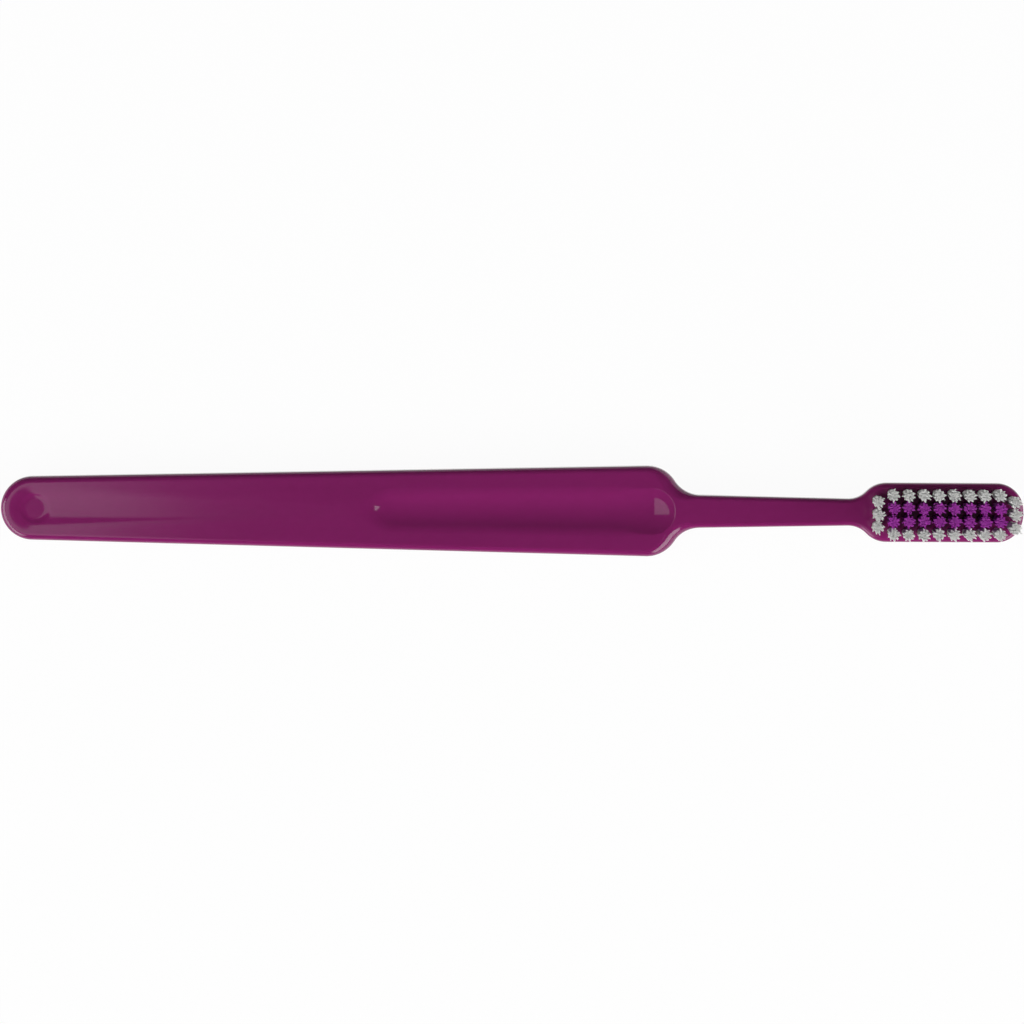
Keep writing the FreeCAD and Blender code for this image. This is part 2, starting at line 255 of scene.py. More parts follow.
class Finish:
    """The nodes of a material or of the world."""

    def __init__(self, owner):
        owner.use_nodes = True
        self.tree = owner.node_tree
        self.tree.nodes.clear()

    def node(self, kind, inputs=None, output=0, **settings):
        """Add a node, its settings first and then its sockets' values and links, and return an output."""
        made = self.tree.nodes.new(kind)
        for name, setting in settings.items():
            setattr(made, name, setting)
        for name, value in (inputs or {}).items():
            if isinstance(value, Value):
                self.tree.links.new(value.socket, made.inputs[name])
            else:
                made.inputs[name].default_value = value
        return Value(self, made.outputs[output]) if made.outputs else None

    def math(self, operation, first, second):
        """Return the result of a Math node on two values or numbers."""
        return self.node("ShaderNodeMath", {0: first, 1: second}, operation=operation)

    def blend(self, amount, first, second):
        """Return the colour that lies the given amount of the way from the first to the second."""
        sockets = {0: amount, 6: (*first, 1.0), 7: (*second, 1.0)}
        return self.node("ShaderNodeMix", sockets, output=2, data_type="RGBA")

    def band(self, value, low, high):
        """Return a value that rises from 0 at low to 1 at high."""
        return self.node("ShaderNodeMapRange", {"Value": value, "From Min": low, "From Max": high})

    def grain(self, per_metre, detail=2.0):
        """Return noise with so many grains to the metre along X, Y and Z."""
        place = self.node("ShaderNodeTexCoord", output="Object")
        place = self.node("ShaderNodeMapping", {"Vector": place, "Scale": per_metre})
        return self.node("ShaderNodeTexNoise", {"Vector": place, "Scale": 1.0, "Detail": detail})

    def show(self, surface, output="ShaderNodeOutputMaterial"):
        """End the nodes in this surface."""
        self.node(output, {"Surface": surface})


def handle_plastic(settings):
    """Return the polished purple plastic, with flow streaks along the handle and faint hairline scratches."""
    material = bpy.data.materials.new("handle_plastic")
    finish = Finish(material)
    flow = finish.grain((25.0, 160.0, 160.0), detail=3.0)
    mottle = finish.grain((600.0, 900.0, 900.0))
    scratches = finish.band(finish.grain((90.0, 5200.0, 5200.0)), 0.62, 0.78)
    peel = finish.grain((420.0, 620.0, 620.0), detail=1.0)
    deep = [channel * 0.86 for channel in settings.plastic]
    light = [channel * 1.12 for channel in settings.plastic]
    relief = {"Strength": 0.12, "Distance": 0.01 * MM, "Height": peel + scratches * 0.2}
    bump = finish.node("ShaderNodeBump", relief)
    finish.show(finish.node("ShaderNodeBsdfPrincipled", {
        "Base Color": finish.blend(flow * 0.65 + mottle * 0.35, deep, light),
        "Roughness": flow * 0.04 + scratches * 0.08 + settings.roughness,
        "Subsurface Weight": 0.1,
        "Subsurface Radius": (1.0, 0.12, 0.55),
        "Subsurface Scale": 3.0 * MM,
        "IOR": 1.49,
        "Normal": bump,
    }))
    return material


def filament_nylon(name, shaded, light, settings):
    """Return translucent nylon whose shade differs between filaments and changes a little along each."""
    material = bpy.data.materials.new(name)
    finish = Finish(material)
    own = finish.node("ShaderNodeAttribute", output="Fac", attribute_name="shade")
    along = finish.grain((900.0, 900.0, 260.0))
    tint = finish.blend(own * 0.7 + along * 0.3, shaded, light)
    sockets = {"Base Color": tint, "Roughness": along * 0.12 + settings.roughness, "IOR": 1.53}
    gloss = finish.node("ShaderNodeBsdfPrincipled", sockets)
    through = finish.node("ShaderNodeBsdfTranslucent", {"Color": tint})
    finish.show(finish.node("ShaderNodeMixShader", {0: settings.translucency, 1: gloss, 2: through}))
    return material


def anchor_brass(settings):
    """Return flat brass wire with drawn lines along X."""
    material = bpy.data.materials.new("anchor_brass")
    finish = Finish(material)
    lines = finish.grain((300.0, 9000.0, 9000.0))
    bump = finish.node("ShaderNodeBump", {"Strength": 0.3, "Distance": 0.01 * MM, "Height": lines})
    finish.show(finish.node("ShaderNodeBsdfPrincipled", {
        "Base Color": finish.blend(finish.band(lines, 0.35, 0.65), settings.tarnish, settings.brass),
        "Metallic": 1.0,
        "Roughness": lines * 0.25 + 0.25,
        "Normal": bump,
    }))
    return material


class Plan:
    """The +Y side of the handle's plan, a chain of straight stretches and arcs from the butt to the tip."""

    def __init__(self, size):
        half_pi = math.pi / 2
        butt = size.butt_width / 2
        neck_end = HEEL_X - size.heel_margin
        self.shoulder = neck_end - size.neck_length
        to_shoulder = Vector((self.shoulder - BUTT_X - butt, size.shoulder_width / 2))
        grip_heading = math.atan2(to_shoulder.y, to_shoulder.x) - math.asin(butt / to_shoulder.length)
        grip = math.sqrt(to_shoulder.length_squared - butt ** 2)
        shoulder_lengths, shoulder_bends, shoulder_run = self.ogee(
            grip_heading, -size.neck_taper, (size.neck_width - size.shoulder_width) / 2,
            size.shoulder_round, size.shoulder_hollow,
        )
        self.neck_start = self.shoulder + shoulder_run
        neck_run = neck_end - self.neck_start
        neck_half = size.neck_width / 2 - neck_run * math.tan(size.neck_taper)
        head_lengths, head_bends, head_run = self.ogee(
            -size.neck_taper, 0.0, size.head_width / 2 - neck_half, size.head_hollow, size.head_round
        )
        corner_rise = size.head_width / 2 - size.head_corner
        corner_angle = math.asin(corner_rise / (size.head_nose - size.head_corner))
        corner_x = TIP_X - size.head_nose + corner_rise / math.tan(corner_angle)
        head_side = corner_x - neck_end - head_run

        lengths = np.array([
            butt * (half_pi - grip_heading), grip,
            *shoulder_lengths, neck_run / math.cos(size.neck_taper),
            *head_lengths, head_side,
            size.head_corner * (half_pi - corner_angle), size.head_nose * corner_angle,
        ])
        self.bends = np.array([
            -1 / butt, 0.0, *shoulder_bends, 0.0, *head_bends, 0.0, -1 / size.head_corner, -1 / size.head_nose
        ])
        self.total = lengths.sum()
        self.starts = np.cumsum(lengths) - lengths
        turns = lengths * self.bends
        self.headings = half_pi + np.cumsum(turns) - turns
        steps = self.chord(lengths, turns, self.headings)
        self.corners = np.array((BUTT_X, 0.0)) + np.cumsum(steps, axis=0) - steps
        # The butt, the grip and the shoulder's outer curve come before its bend.
        self.shoulder_bend = Vector(self.corners[3])

    @staticmethod
    def ogee(heading, end_heading, step, first_radius, second_radius):
        """Return the lengths and bends of two arcs that lead over a sideways step, and their run along X.

        An arc shifts sideways by its radius times the change of its heading's cosine, and forwards by its
        radius times the change of the sine. The heading where the arcs meet is the one whose cosine makes up
        the step.
        """
        level = first_radius * math.cos(heading) + second_radius * math.cos(end_heading)
        slope = math.acos((level - abs(step)) / (first_radius + second_radius))
        slope = math.copysign(slope, step)
        side = math.copysign(1.0, step)
        lengths = (first_radius * abs(slope - heading), second_radius * abs(slope - end_heading))
        bends = (side / first_radius, -side / second_radius)
        first_run = first_radius * abs(math.sin(slope) - math.sin(heading))
        second_run = second_radius * abs(math.sin(slope) - math.sin(end_heading))
        return lengths, bends, first_run + second_run

    @staticmethod
    def chord(distance, turn, heading):
        """Return the chord of an arc, which has the arc's mean heading.

        Its length is the arc's times the sinc of half the turn.
        """
        reach = distance * np.sinc(turn / 2 / math.pi)
        mean = heading + turn / 2
        return np.stack((reach * np.cos(mean), reach * np.sin(mean)), axis=-1)

    def follow(self, distance):
        """Return the points and the headings at distances along the side."""
        stretch = np.searchsorted(self.starts, distance, side="right") - 1
        along = distance - self.starts[stretch]
        turn = self.bends[stretch] * along
        points = self.corners[stretch] + self.chord(along, turn, self.headings[stretch])
        return points, self.headings[stretch] + turn


def section_rows(face_rows=46, back_rows=6, round_rows=9, wall_rows=4):
    """Return the rows of half a section from the middle of the back to the middle of the front.

    Each row gives its share of the half width, how many back and front roundings it is set in by, its share
    of the way from back to front, and how many roundings it is lifted from the back or dropped from the
    front. On a rounding these follow the sine and cosine of an angle that turns through a quarter circle.
    """
    turn = np.linspace(0, math.pi / 2, round_rows)
    wall = np.linspace(0, 1, wall_rows + 2)[1:-1]
    back = np.linspace(0, 1, back_rows, endpoint=False)
    face = np.linspace(1, 0, face_rows + 1)[1:]
    none, one = np.zeros, np.ones

    def joined(back_face, back_round, side, front_round, front_face):
        return np.concatenate((back_face, back_round, side, front_round, front_face))

    rounds, walls, backs, faces = len(turn), len(wall), len(back), len(face)
    width = joined(back, one(rounds), one(walls), one(rounds), face)
    back_inset = joined(one(backs), 1 - np.sin(turn), none(walls), none(rounds), none(faces))
    front_inset = joined(none(backs), none(rounds), none(walls), 1 - np.cos(turn), one(faces))
    rise = joined(none(backs), none(rounds), wall, one(rounds), one(faces))
    lift = joined(none(backs), 1 - np.cos(turn), 1 - wall, none(rounds), none(faces))
    drop = joined(none(backs), none(rounds), wall, 1 - np.sin(turn), none(faces))
    return width, back_inset, front_inset, rise, lift, drop


def ease(part):
    """Return an S-shaped step from 0 to 1: three times the square of the part less twice its cube."""
    part = np.clip(part, 0.0, 1.0)
    return part ** 2 * (3 - 2 * part)


def trough_wall(depth, radius, lip, steepest):
    """Return the slope of a trough's wall, the width of the wall's straight part and half the trough's width.

    The floor and the lip are arcs that bend opposite ways. Where they meet, each has turned through the
    slope, and together they have risen by the sum of their radii times one less the slope's cosine. When the
    slope that makes up the whole depth is steeper than allowed, a straight part at the steepest slope rises
    the rest.
    """
    spread = radius + lip
    slope = np.minimum(np.arccos(1 - depth / spread), steepest)
    straight = (depth - spread * (1 - np.cos(slope))) / np.tan(slope)
    return slope, straight, spread * np.sin(slope) + straight


def trough_sink(x, y, run, depths, radii, lips, steepest, stretch):
    """Return how far a round-ended trough sinks the front, along a run of X with a depth at either end.

    Before the run, distances along X count for less by the stretch, which draws out the trough's start. The
    radii of its floor and lip change smoothly from their first value to their second at the end of the run.
    The sink is the depth less the floor's arc and its straight wall, or else the rest of the lip's arc.
    """
    near = np.clip(x, *run)
    depth = np.interp(near, run, depths)
    distance = np.hypot(y, np.where(x < run[0], (x - near) / stretch, x - near))
    along = ease((run[1] - x) / radii[0])
    radius = radii[1] + (radii[0] - radii[1]) * along
    lip = lips[1] + (lips[0] - lips[1]) * along
    slope, straight, half_width = trough_wall(depth, radius, lip, steepest)
    bend_end = radius * np.sin(slope)
    rise = radius - np.sqrt(radius ** 2 - np.minimum(distance, bend_end) ** 2)
    rise = rise + np.maximum(distance - bend_end, 0.0) * np.tan(slope)
    edge = lip - np.sqrt(lip ** 2 - np.clip(half_width - distance, 0.0, lip * np.sin(slope)) ** 2)
    return np.where(distance < bend_end + straight, depth - rise, edge)


def sunk_disc(x, y, z, centre_x, floor, diameter, wall):
    """Return heights with a flat round mark sunk to a floor, its wall an S-shaped step of the given width."""
    sunk = ease((diameter / 2 - np.hypot(x - centre_x, y)) / wall + 0.5)
    return z + (np.minimum(z, floor) - z) * sunk


class HandleForm:
    """The heights of the handle over its plan."""

    def __init__(self, size, plan, hole):
        self.size = size
        self.plan = plan
        self.hole = hole
        self.butt_middle = BUTT_X + size.butt_width / 2
        end_depth = self.rest_depth(self.half_width(plan.shoulder) - size.thumb_rest_end_margin)
        _, _, end_cap = trough_wall(end_depth, size.thumb_rest_end_radius, 0.0, size.wall_slope)
        # The round end of the thumb rest keeps its gap from the rounding at the shoulder's bend.
        reach = end_cap + size.shoulder_edge + size.thumb_rest_gap
        end_middle = plan.shoulder_bend.x - math.sqrt(reach ** 2 - plan.shoulder_bend.y ** 2)
        rest_start = end_middle + end_cap - size.thumb_rest_length
        start_half = self.half_width(rest_start) - size.thumb_rest_margin
        self.rest_run = (rest_start + start_half * size.thumb_rest_stretch, end_middle)
        self.rest_depths = (self.rest_depth(start_half), end_depth)
        end_half = math.sqrt(2 * size.hollow_radius * size.hollow_end_depth - size.hollow_end_depth ** 2)
        self.hollow_run = (self.butt_middle, rest_start - size.hollow_gap - end_half)

    def half_width(self, x):
        """Return the half width of the grip, which grows evenly from its butt to its shoulder."""
        ends = (self.butt_middle, self.plan.shoulder)
        return np.interp(x, ends, (self.size.butt_width / 2, self.size.shoulder_width / 2))

    def rest_depth(self, half_width):
        """Return how deep the thumb rest is where the arcs of its floor and lip span a half width."""
        spread = self.size.thumb_rest_radius + self.size.thumb_rest_lip
        return spread - math.sqrt(spread ** 2 - half_width ** 2)

    def front(self, x):
        """Return the front's height, level from the shoulder on and falling along an arc to the butt."""
        grip = self.plan.shoulder - BUTT_X
        radius = (grip ** 2 + self.size.butt_drop ** 2) / (2 * self.size.butt_drop)
        behind = np.maximum(self.plan.shoulder - x, 0.0)
        return FRONT_Z - radius + np.sqrt(radius ** 2 - behind ** 2)

    def front_edge(self, x):
        """Return the front rim's rounding, which grows to the shoulder's bend and shrinks to the neck."""
        size = self.size
        bend = self.plan.shoulder_bend.x
        grown = ease((x - self.plan.shoulder) / (bend - self.plan.shoulder))
        shrunk = ease((x - bend) / (self.plan.neck_start - bend))
        growth = size.shoulder_edge - size.grip_edge
        shrinkage = size.shoulder_edge - size.head_edge
        return size.grip_edge + growth * grown - shrinkage * shrunk

    def back(self, x):
        """Return the back's height, which rises into the neck along an S of two equal arcs."""
        size = self.size
        radius = size.neck_rise_radius
        run = radius * math.sin(math.acos(1 - size.neck_rise / (2 * radius)))
        start = self.plan.neck_start + size.neck_rise_lead
        before = np.clip(x - start, 0.0, run)
        after = np.clip(start + 2 * run - x, 0.0, run)
        lower = radius - np.sqrt(radius ** 2 - before ** 2)
        upper = size.neck_rise - radius + np.sqrt(radius ** 2 - after ** 2)
        return np.where(x < start + run, lower, upper)

    def hollowed(self, x, y, z):
        """Return the front's heights with the thumb rest, the hollow and the round marks sunk in."""
        size = self.size
        z = z - trough_sink(
            x, y, self.rest_run, self.rest_depths, (size.thumb_rest_radius, size.thumb_rest_end_radius),
            (size.thumb_rest_lip, 0.0), size.wall_slope, size.thumb_rest_stretch,
        )
        z = z - trough_sink(
            x, y, self.hollow_run, (size.hollow_depth, size.hollow_end_depth), (size.hollow_radius,) * 2,
            (size.hollow_lip,) * 2, size.wall_slope, 1.0,
        )
        neck_mark = HEEL_X - (self.hole + size.neck_mark) / 2 - size.neck_mark_gap
        butt_floor = self.front(self.butt_middle) - size.hollow_depth
        marks = (
            (self.butt_middle + size.butt_mark_shift, butt_floor - size.mark_depth, size.butt_mark),
            (neck_mark, FRONT_Z - size.mark_depth, size.neck_mark),
        )
        for middle, floor, diameter in marks:
            z = sunk_disc(x, y, z, middle, floor, diameter, size.mark_wall)
        return z

    def steps(self):
        """Return distances along the plan, close together on curves and wider on straight stretches.

        The steps are counted up along close samples, and the distances are read off at evenly spaced counts.
        """
        distance = np.linspace(0.0, self.plan.total, PLAN_SAMPLES)
        x = self.plan.follow(distance)[0][:, 0]
        size = self.size
        step = np.full(len(x), size.fine_step)
        for (start, end), own_step in (
            ((BUTT_X + size.butt_width, self.hollow_run[1]), size.coarse_step),
            (self.rest_run, size.coarse_step),
            ((self.rest_run[1], self.plan.neck_start), size.rim_step),
            ((self.plan.neck_start, HEEL_X - size.heel_margin), size.coarse_step),
        ):
            step[(x > start) & (x < end)] = own_step
        count = np.cumsum(distance[1] / step)
        return np.interp(np.linspace(count[0], count[-1], round(count[-1])), count, distance)

    def grid(self):
        """Return the handle's points, ring by ring along the plan.

        A ring starts in the middle of the back, follows the section's rows to the middle of the front and
        comes back by the other side. A row is set in from the plan along its normal and then takes its share
        of the half width; its height runs from back to front with the lift and drop of the roundings.
        """
        size = self.size
        width, back_inset, front_inset, rise, lift, drop = section_rows()
        points, heading = self.plan.follow(self.steps())
        x = points[:, :1]
        edge = self.front_edge(x)
        inset = size.back_edge * back_inset + edge * front_inset
        x = x + np.sin(heading)[:, None] * inset
        y = (points[:, 1:] - np.cos(heading)[:, None] * inset) * width
        z = (1 - rise) * self.back(x) + rise * self.front(x) + size.back_edge * lift - edge * drop
        z = np.where(rise == 1, self.hollowed(x, y, z), z)
        upper = np.stack((x, y, z), axis=-1)
        lower = upper[:, -2:0:-1] * (1, -1, 1)
        return np.concatenate((upper, lower), axis=1)


def full_turn(count):
    """Return angles spread evenly over a full turn."""
    return np.linspace(0, 2 * math.pi, count, endpoint=False)


def level_arc(turn, radius):
    """Return the points of a level circle about the origin at these angles."""
    return np.stack((np.cos(turn), np.sin(turn), np.zeros(len(turn))), axis=-1) * radius


def ring_faces(rings, sides):
    """Return the four-cornered faces between rings of points, each ring closed on itself."""
    ring, side = np.meshgrid(np.arange(rings - 1), np.arange(sides), indexing="ij")
    following = (side + 1) % sides
    first = ring * sides
    second = first + sides
    corners = (first + side, first + following, second + following, second + side)
    return np.stack(corners, axis=-1).reshape(-1, 4)


def new_piece(name, points, faces, material):
    """Return a smooth object of these points and faces, at the origin, in this material."""
    mesh = bpy.data.meshes.new(name)
    mesh.from_pydata(points.reshape(-1, 3).tolist(), [], faces)
    mesh.materials.append(material)
    mesh.shade_smooth()
    piece = bpy.data.objects.new(name, mesh)
    bpy.context.scene.collection.objects.link(piece)
    return piece


def close_surface(mesh):
    """Merge the points that lie on each other and turn the faces outwards."""
    shell = bmesh.new()
    shell.from_mesh(mesh)
    bmesh.ops.remove_doubles(shell, verts=shell.verts, dist=MERGE_DISTANCE)
    bmesh.ops.recalc_face_normals(shell, faces=shell.faces)
    shell.to_mesh(mesh)
    shell.free()


def hole_cutters(diameter, sides=32):
    """Return the points and faces of a round bar for each tuft's hole, from its floor to above the front."""
    middles = np.array([(centre.x, centre.y, 0.0) for centre in TUFT_CENTRES.values()])
    bar = np.empty((len(middles), 2, sides, 3))
    bar[:] = middles[:, None, None] + level_arc(full_turn(sides), diameter / 2)
    bar[:, 0, :, 2] = HOLE_FLOOR_Z
    bar[:, 1, :, 2] = FRONT_Z + MM
    round_side = ring_faces(2, sides)
    ends = np.array((np.arange(sides)[::-1], np.arange(sides) + sides))
    firsts = np.arange(len(middles))[:, None, None] * 2 * sides
    faces = (firsts + round_side).reshape(-1, 4).tolist() + (firsts + ends).reshape(-1, sides).tolist()
    return bar, faces


def drill_holes(piece, diameter):
    """Cut the blind holes of the tufts into the piece."""
    cutter = new_piece("hole_cutter", *hole_cutters(diameter), piece.data.materials[0])
    cut = piece.modifiers.new("holes", "BOOLEAN")
    cut.operation = "DIFFERENCE"
    cut.solver = "EXACT"
    cut.object = cutter
    drilled = bpy.data.meshes.new_from_object(piece.evaluated_get(bpy.context.evaluated_depsgraph_get()))
    piece.modifiers.clear()
    whole = piece.data
    piece.data = drilled
    drilled.name = piece.name
    bpy.data.meshes.remove(whole)
    # The cutter's object goes with its mesh.
    bpy.data.meshes.remove(cutter.data)


class TOOTHBRUSH_OT_handle(bpy.types.Operator):
    """Make the moulded handle with its hollows, marks and drilled head"""

    bl_idname = "toothbrush.handle"
    bl_label = "Handle"

    def execute(self, context):
        size = context.scene.toothbrush_handle
        hole = context.scene.toothbrush_tufts.hole
        points = HandleForm(size, Plan(size), hole).grid()
        rings, sides = points.shape[:2]
        piece = new_piece("handle_moulding", points, ring_faces(rings, sides).tolist(), handle_plastic(size))
        close_surface(piece.data)
        drill_holes(piece, hole)
        piece.data.set_sharp_from_angle(angle=CREASE_ANGLE)
        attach(piece, BODY)
        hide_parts("handle")
        return {"FINISHED"}


def filament_places(size):
    """Return where filaments stand in one half of a hole: a triangular lattice inside the half disc."""
    reach = (size.hole - size.filament) / 2
    nearest = (anchor_thickness() + size.filament) / 2
    count = math.ceil(2 * reach / size.packing)
    row, column = np.meshgrid(np.arange(count), np.arange(-count, count + 1))
    x = (column + 0.5 * (row % 2)) * size.packing
    y = nearest + row * size.packing * math.sqrt(0.75)
    inside = np.hypot(x, y) <= reach
    return np.stack((x[inside], y[inside]), axis=-1)


def anchor_thickness():
    """Return the thickness of an anchor, from the outermost one and its tuft."""
    outermost = max(TUFT_CENTRES.values(), key=lambda centre: centre.y)
    return 2 * (ANCHOR_HIGH.y - outermost.y)


def jagged_tips(size, roots, chance):
    """Return the places of the tips above the places of the roots, drawn out into the jags of a star.

    A tip starts at its root's place, spread to the tuft's reach and drawn in to close the slot over the
    anchor. The further out it stands, by the square of its distance, the more it turns towards the nearest
    jag, and the more it moves out near the jag's line and in half way between two jags. Then the tips
    scatter, stray and lean.
    """
    root_reach = (size.hole - size.filament) / 2
    aside = np.abs(roots[..., 1])
    slot = aside.min() - size.packing / 2
    closed = aside - slot * (root_reach - aside) / (root_reach - aside.min())
    spread = np.stack((roots[..., 0], np.sign(roots[..., 1]) * closed), axis=-1) * size.tip_reach / root_reach
    heading = np.arctan2(spread[..., 1], spread[..., 0])
    reach = np.linalg.norm(spread, axis=-1)
    places = np.arange(size.jags) + chance.uniform(-size.jag_wander, size.jag_wander, size.jags)
    jags = 2 * math.pi * places / size.jags + chance.uniform(0, 2 * math.pi)
    own_length = chance.uniform(size.shortest_jag, size.longest_jag, size.jags)

    offsets = np.angle(np.exp(1j * (heading[..., None] - jags)))
    nearest = np.abs(offsets).argmin(axis=-1)
    offset = np.take_along_axis(offsets, nearest[..., None], axis=-1)[..., 0]
    outward = (reach / size.tip_reach) ** 2
    off_line = np.abs(offset) * size.jags / math.pi
    heading = heading - offset * size.jag_pull * outward
    reach = reach * (1 + own_length[nearest] * outward * (1 - 2 * off_line))
    tips = np.stack((np.cos(heading) * reach, np.sin(heading) * reach), axis=-1)

    tips = tips + chance.normal(0, size.tip_scatter, tips.shape)
    stray = chance.random(tips.shape[:-1] + (1,)) < size.stray_share
    tips = tips + stray * chance.normal(0, size.stray_reach, tips.shape)
    return tips + chance.normal(0, size.lean, 2)


def filament_lines(size, places, node, chance):
    """Return the centre lines of a tuft's filaments, nine points each, from tip to tip round the anchor.

    Both ends of a filament leave the mouth of the hole on opposite sides of the anchor. Half way up, an end
    has gone a third of its way outwards. The fold of a filament under the anchor lies the lower the further
    out its ends stand.
    """
    centre = TUFT_CENTRES[node]
    roots = np.stack((places, places * (1, -1)))
    lean = (centre.xy - FIELD_HEEL) * size.fan
    tips = jagged_tips(size, roots, chance) + lean
    half_way = roots + (tips - roots) / 3
    shortness = np.abs(chance.normal(0, size.tip_unevenness, tips.shape[:-1]))
    tip_z = TUFT_BOXES[node][1].z - size.filament - shortness
    radius = size.filament / 2
    ends = [places[:, 1].min(), places[:, 1].max()]
    fold_z = np.interp(places[:, 1], ends, [ANCHOR_LOW.z - radius, HOLE_FLOOR_Z + radius])

    lines = np.empty((len(places), 9, 3))
    for side, order in ((0, (0, 1, 2, 3)), (1, (8, 7, 6, 5))):
        heights = (tip_z[side], (tip_z[side] + FRONT_Z) / 2, FRONT_Z, ANCHOR_LOW.z)
        for ring, place, height in zip(order, (tips, half_way, roots, roots), heights):
            lines[:, ring, :2] = place[side]
            lines[:, ring, 2] = height
    lines[:, 4, :2] = places * (1, 0)
    lines[:, 4, 2] = fold_z
    return lines + (centre.x, centre.y, 0.0)


def filament_tubes(lines, diameter, sides=5, tip=0.3):
    """Return the points and faces of round-tipped tubes along the lines.

    A ring is the line's point plus the radius times the cosine and sine of its angle along two directions
    square to the line, one of them near X. A point closes each tip, past the end by a share of the diameter.
    """
    count, rings = lines.shape[:2]
    ahead = np.gradient(lines, axis=1)
    ahead /= np.linalg.norm(ahead, axis=-1, keepdims=True)
    upright = np.cross(ahead, (1.0, 0.0, 0.0))
    upright /= np.linalg.norm(upright, axis=-1, keepdims=True)
    across = np.cross(upright, ahead)
    turn = full_turn(sides)[:, None]
    around = across[:, :, None] * np.cos(turn) + upright[:, :, None] * np.sin(turn)
    tube = (lines[:, :, None] + around * diameter / 2).reshape(count, rings * sides, 3)
    first_pole = lines[:, :1] - ahead[:, :1] * diameter * tip
    last_pole = lines[:, -1:] + ahead[:, -1:] * diameter * tip
    points = np.concatenate((tube, first_pole, last_pole), axis=1)

    side = np.arange(sides)
    following = (side + 1) % sides
    last_ring = (rings - 1) * sides
    first_cap = np.stack((np.full(sides, rings * sides), following, side), axis=-1)
    last_cap = np.stack((np.full(sides, rings * sides + 1), last_ring + side, last_ring + following), axis=-1)
    firsts = np.arange(count)[:, None, None] * points.shape[1]
    walls = (firsts + ring_faces(rings, sides)).reshape(-1, 4)
    caps = (firsts + np.concatenate((first_cap, last_cap))).reshape(-1, 3)
    return points, walls.tolist() + caps.tolist()


class TOOTHBRUSH_OT_tufts(bpy.types.Operator):
    """Make the tufts of folded filaments"""

    bl_idname = "toothbrush.tufts"
    bl_label = "Tufts"

    def execute(self, context):
        size = context.scene.toothbrush_tufts
        chance = np.random.default_rng(size.seed)
        places = filament_places(size)
        nylon = {
            "filament_white": filament_nylon("filament_white", size.white_shade, size.white_light, size),
            "filament_purple": filament_nylon("filament_purple", size.purple_shade, size.purple_light, size),
        }
        for node in TUFTS:
            slot = "filament_white" if "white" in node else "filament_purple"
            lines = filament_lines(size, places, node, chance)
            points, faces = filament_tubes(lines, size.filament)
            piece = new_piece(node.replace("tuft_", "bristles_"), points, faces, nylon[slot])
            own = piece.data.attributes.new("shade", "FLOAT", "POINT")
            own.data.foreach_set("value", np.repeat(chance.random(len(lines)), points.shape[1]))
            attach(piece, BODY)
            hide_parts(node)
        return {"FINISHED"}


class TOOTHBRUSH_OT_anchors(bpy.types.Operator):
    """Give the anchors their drawn brass"""

    bl_idname = "toothbrush.anchors"
    bl_label = "Anchors"

    def execute(self, context):
        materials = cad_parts[ANCHORS].data.materials
        materials.clear()
        materials.append(anchor_brass(context.scene.toothbrush_anchors))
        return {"FINISHED"}


def white_floor(settings):
    """Return the floor's pale finish: white to the camera and in reflections, with a faint shadow on it."""
    material = bpy.data.materials.new("studio_floor")
    finish = Finish(material)
    rays = ("Camera", "Glossy", "Transmission")
    camera, mirror, glass = (finish.node("ShaderNodeLightPath", output=f"Is {ray} Ray") for ray in rays)
    seen = finish.math("MINIMUM", camera + mirror + glass, 1.0)
    paper = finish.blend(finish.grain((40.0, 40.0, 40.0)), settings.floor_shade, settings.floor_light)
    matte = finish.node("ShaderNodeBsdfDiffuse", {"Color": paper})
    glow = finish.node("ShaderNodeEmission", {"Color": WHITE, "Strength": 1.0})
    finish.show(finish.node("ShaderNodeMixShader", {0: seen * settings.floor_glow, 1: matte, 2: glow}))
    return material


def soft_box(name, place, aim, width, height, glow):
    """Add a rectangular soft box that faces its aim.

    Its power is pi times its area times its brightness, which is what an evenly bright surface sends out.
    """
    lamp = bpy.data.lights.new(name, "AREA")
    lamp.shape = "RECTANGLE"
    lamp.size = width
    lamp.size_y = height
    lamp.energy = math.pi * width * height * glow
    box = bpy.data.objects.new(name, lamp)
    box.location = place
    box.rotation_euler = (aim - place).to_track_quat("-Z", "Y").to_euler()
    bpy.context.scene.collection.objects.link(box)


def light_bank(settings):
    """Add a far bank of light on the left, a glowing quarter disc that lies level above the brush."""
    material = bpy.data.materials.new("light_bank")
    finish = Finish(material)
    finish.show(finish.node("ShaderNodeEmission", {"Color": WHITE, "Strength": settings.bank_glow}))
    rim = level_arc(np.linspace(1.5 * math.pi, math.pi, BANK_POINTS), settings.bank_size)
    points = np.array(settings.bank_corner) + np.concatenate((np.zeros((1, 3)), rim))
    new_piece("light_bank", points, [list(range(len(points)))], material)


def overhead_camera(settings, aim):
    """Add the camera above the brush, looking down at the aim with the head of the brush to the right."""
    lens = bpy.data.cameras.new("camera")
    lens.sensor_width = 36.0
    lens.lens = lens.sensor_width * settings.view_distance / settings.view_width
    camera = bpy.data.objects.new("camera", lens)
    back = Vector((0.0, math.sin(settings.view_tilt), math.cos(settings.view_tilt)))
    right = Vector((1.0, 0.0, 0.0))
    turned = Matrix((right, back.cross(right), back)).transposed().to_4x4()
    roll = Matrix.Rotation(settings.view_roll, 4, "Z")
    camera.matrix_world = Matrix.Translation(aim + back * settings.view_distance) @ turned @ roll
    bpy.context.scene.collection.objects.link(camera)
    bpy.context.scene.camera = camera


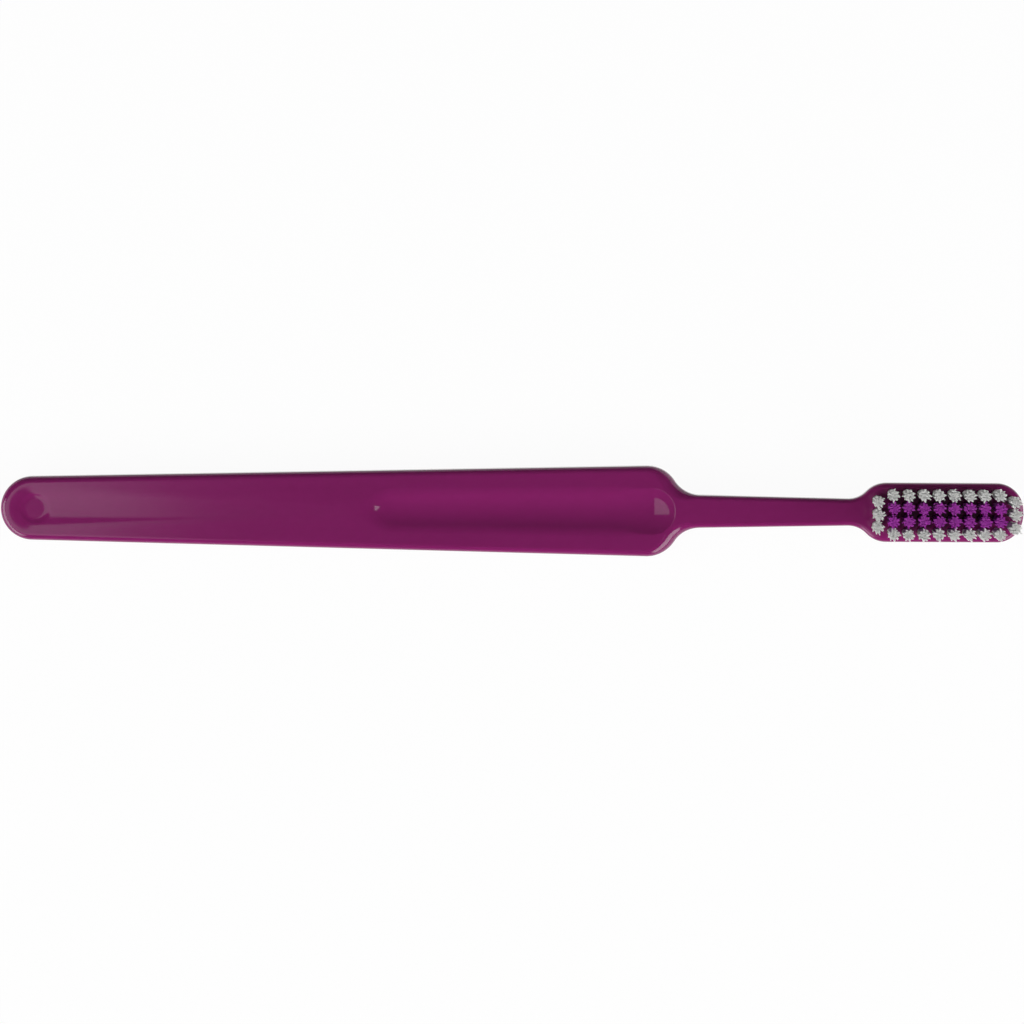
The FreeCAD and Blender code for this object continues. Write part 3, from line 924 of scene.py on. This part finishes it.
class TOOTHBRUSH_OT_stage(bpy.types.Operator):
    """Set up the floor, the light and the camera"""

    bl_idname = "toothbrush.stage"
    bl_label = "Stage"

    def execute(self, context):
        settings = context.scene.toothbrush_stage
        scene = context.scene
        scene.view_settings.view_transform = "Standard"

        rim = level_arc(full_turn(FLOOR_SIDES), settings.floor_size) - (0, 0, settings.floor_gap)
        floor = new_piece("floor", rim, [list(range(FLOOR_SIDES))], white_floor(settings))

        world = bpy.data.worlds.new("studio")
        scene.world = world
        finish = Finish(world)
        light = finish.node("ShaderNodeBackground", {"Color": WHITE, "Strength": settings.ceiling})
        finish.show(light, "ShaderNodeOutputWorld")

        middle = Vector(((BUTT_X + TIP_X) / 2, 0.0, FRONT_Z))
        light_bank(settings)
        spot = (settings.spot_width, settings.spot_height, settings.spot_glow)
        soft_box("right_spot", Vector(settings.spot_place), middle, *spot)
        box = (settings.box_width, settings.box_height, settings.box_glow)
        right = Vector(settings.box_place)
        soft_box("left_soft_box", right * Vector((-1.0, 1.0, 1.0)), middle, *box)
        soft_box("right_soft_box", right, middle, *box)
        overhead_camera(settings, middle - Vector((0.0, settings.view_drop, 0.0)))
        return {"FINISHED"}


class TOOTHBRUSH_PT_pieces(bpy.types.Panel):
    """Lists the pieces and their settings"""

    bl_label = "Toothbrush"
    bl_space_type = "VIEW_3D"
    bl_region_type = "UI"
    bl_category = "Toothbrush"

    def draw(self, context):
        for operator, settings in (
            (TOOTHBRUSH_OT_handle, context.scene.toothbrush_handle),
            (TOOTHBRUSH_OT_tufts, context.scene.toothbrush_tufts),
            (TOOTHBRUSH_OT_anchors, context.scene.toothbrush_anchors),
            (TOOTHBRUSH_OT_stage, context.scene.toothbrush_stage),
        ):
            box = self.layout.box()
            box.operator(operator.bl_idname)
            for name in settings.__annotations__:
                box.prop(settings, name)


SETTINGS = {
    "toothbrush_handle": HandleSettings,
    "toothbrush_tufts": TuftSettings,
    "toothbrush_anchors": AnchorSettings,
    "toothbrush_stage": StageSettings,
}
CLASSES = (
    *SETTINGS.values(),
    TOOTHBRUSH_OT_handle,
    TOOTHBRUSH_OT_tufts,
    TOOTHBRUSH_OT_anchors,
    TOOTHBRUSH_OT_stage,
    TOOTHBRUSH_PT_pieces,
)


def register():
    """Add the classes to Blender and the settings to its scenes."""
    for each in CLASSES:
        bpy.utils.register_class(each)
    for name, group in SETTINGS.items():
        setattr(bpy.types.Scene, name, bpy.props.PointerProperty(type=group))


def unregister():
    """Take the settings and the classes away again."""
    for name in SETTINGS:
        delattr(bpy.types.Scene, name)
    for each in reversed(CLASSES):
        bpy.utils.unregister_class(each)


def main():
    """Dress the frame."""
    register()
    bpy.ops.toothbrush.handle()
    bpy.ops.toothbrush.tufts()
    bpy.ops.toothbrush.anchors()
    bpy.ops.toothbrush.stage()


if __name__ == "__main__":
    main()
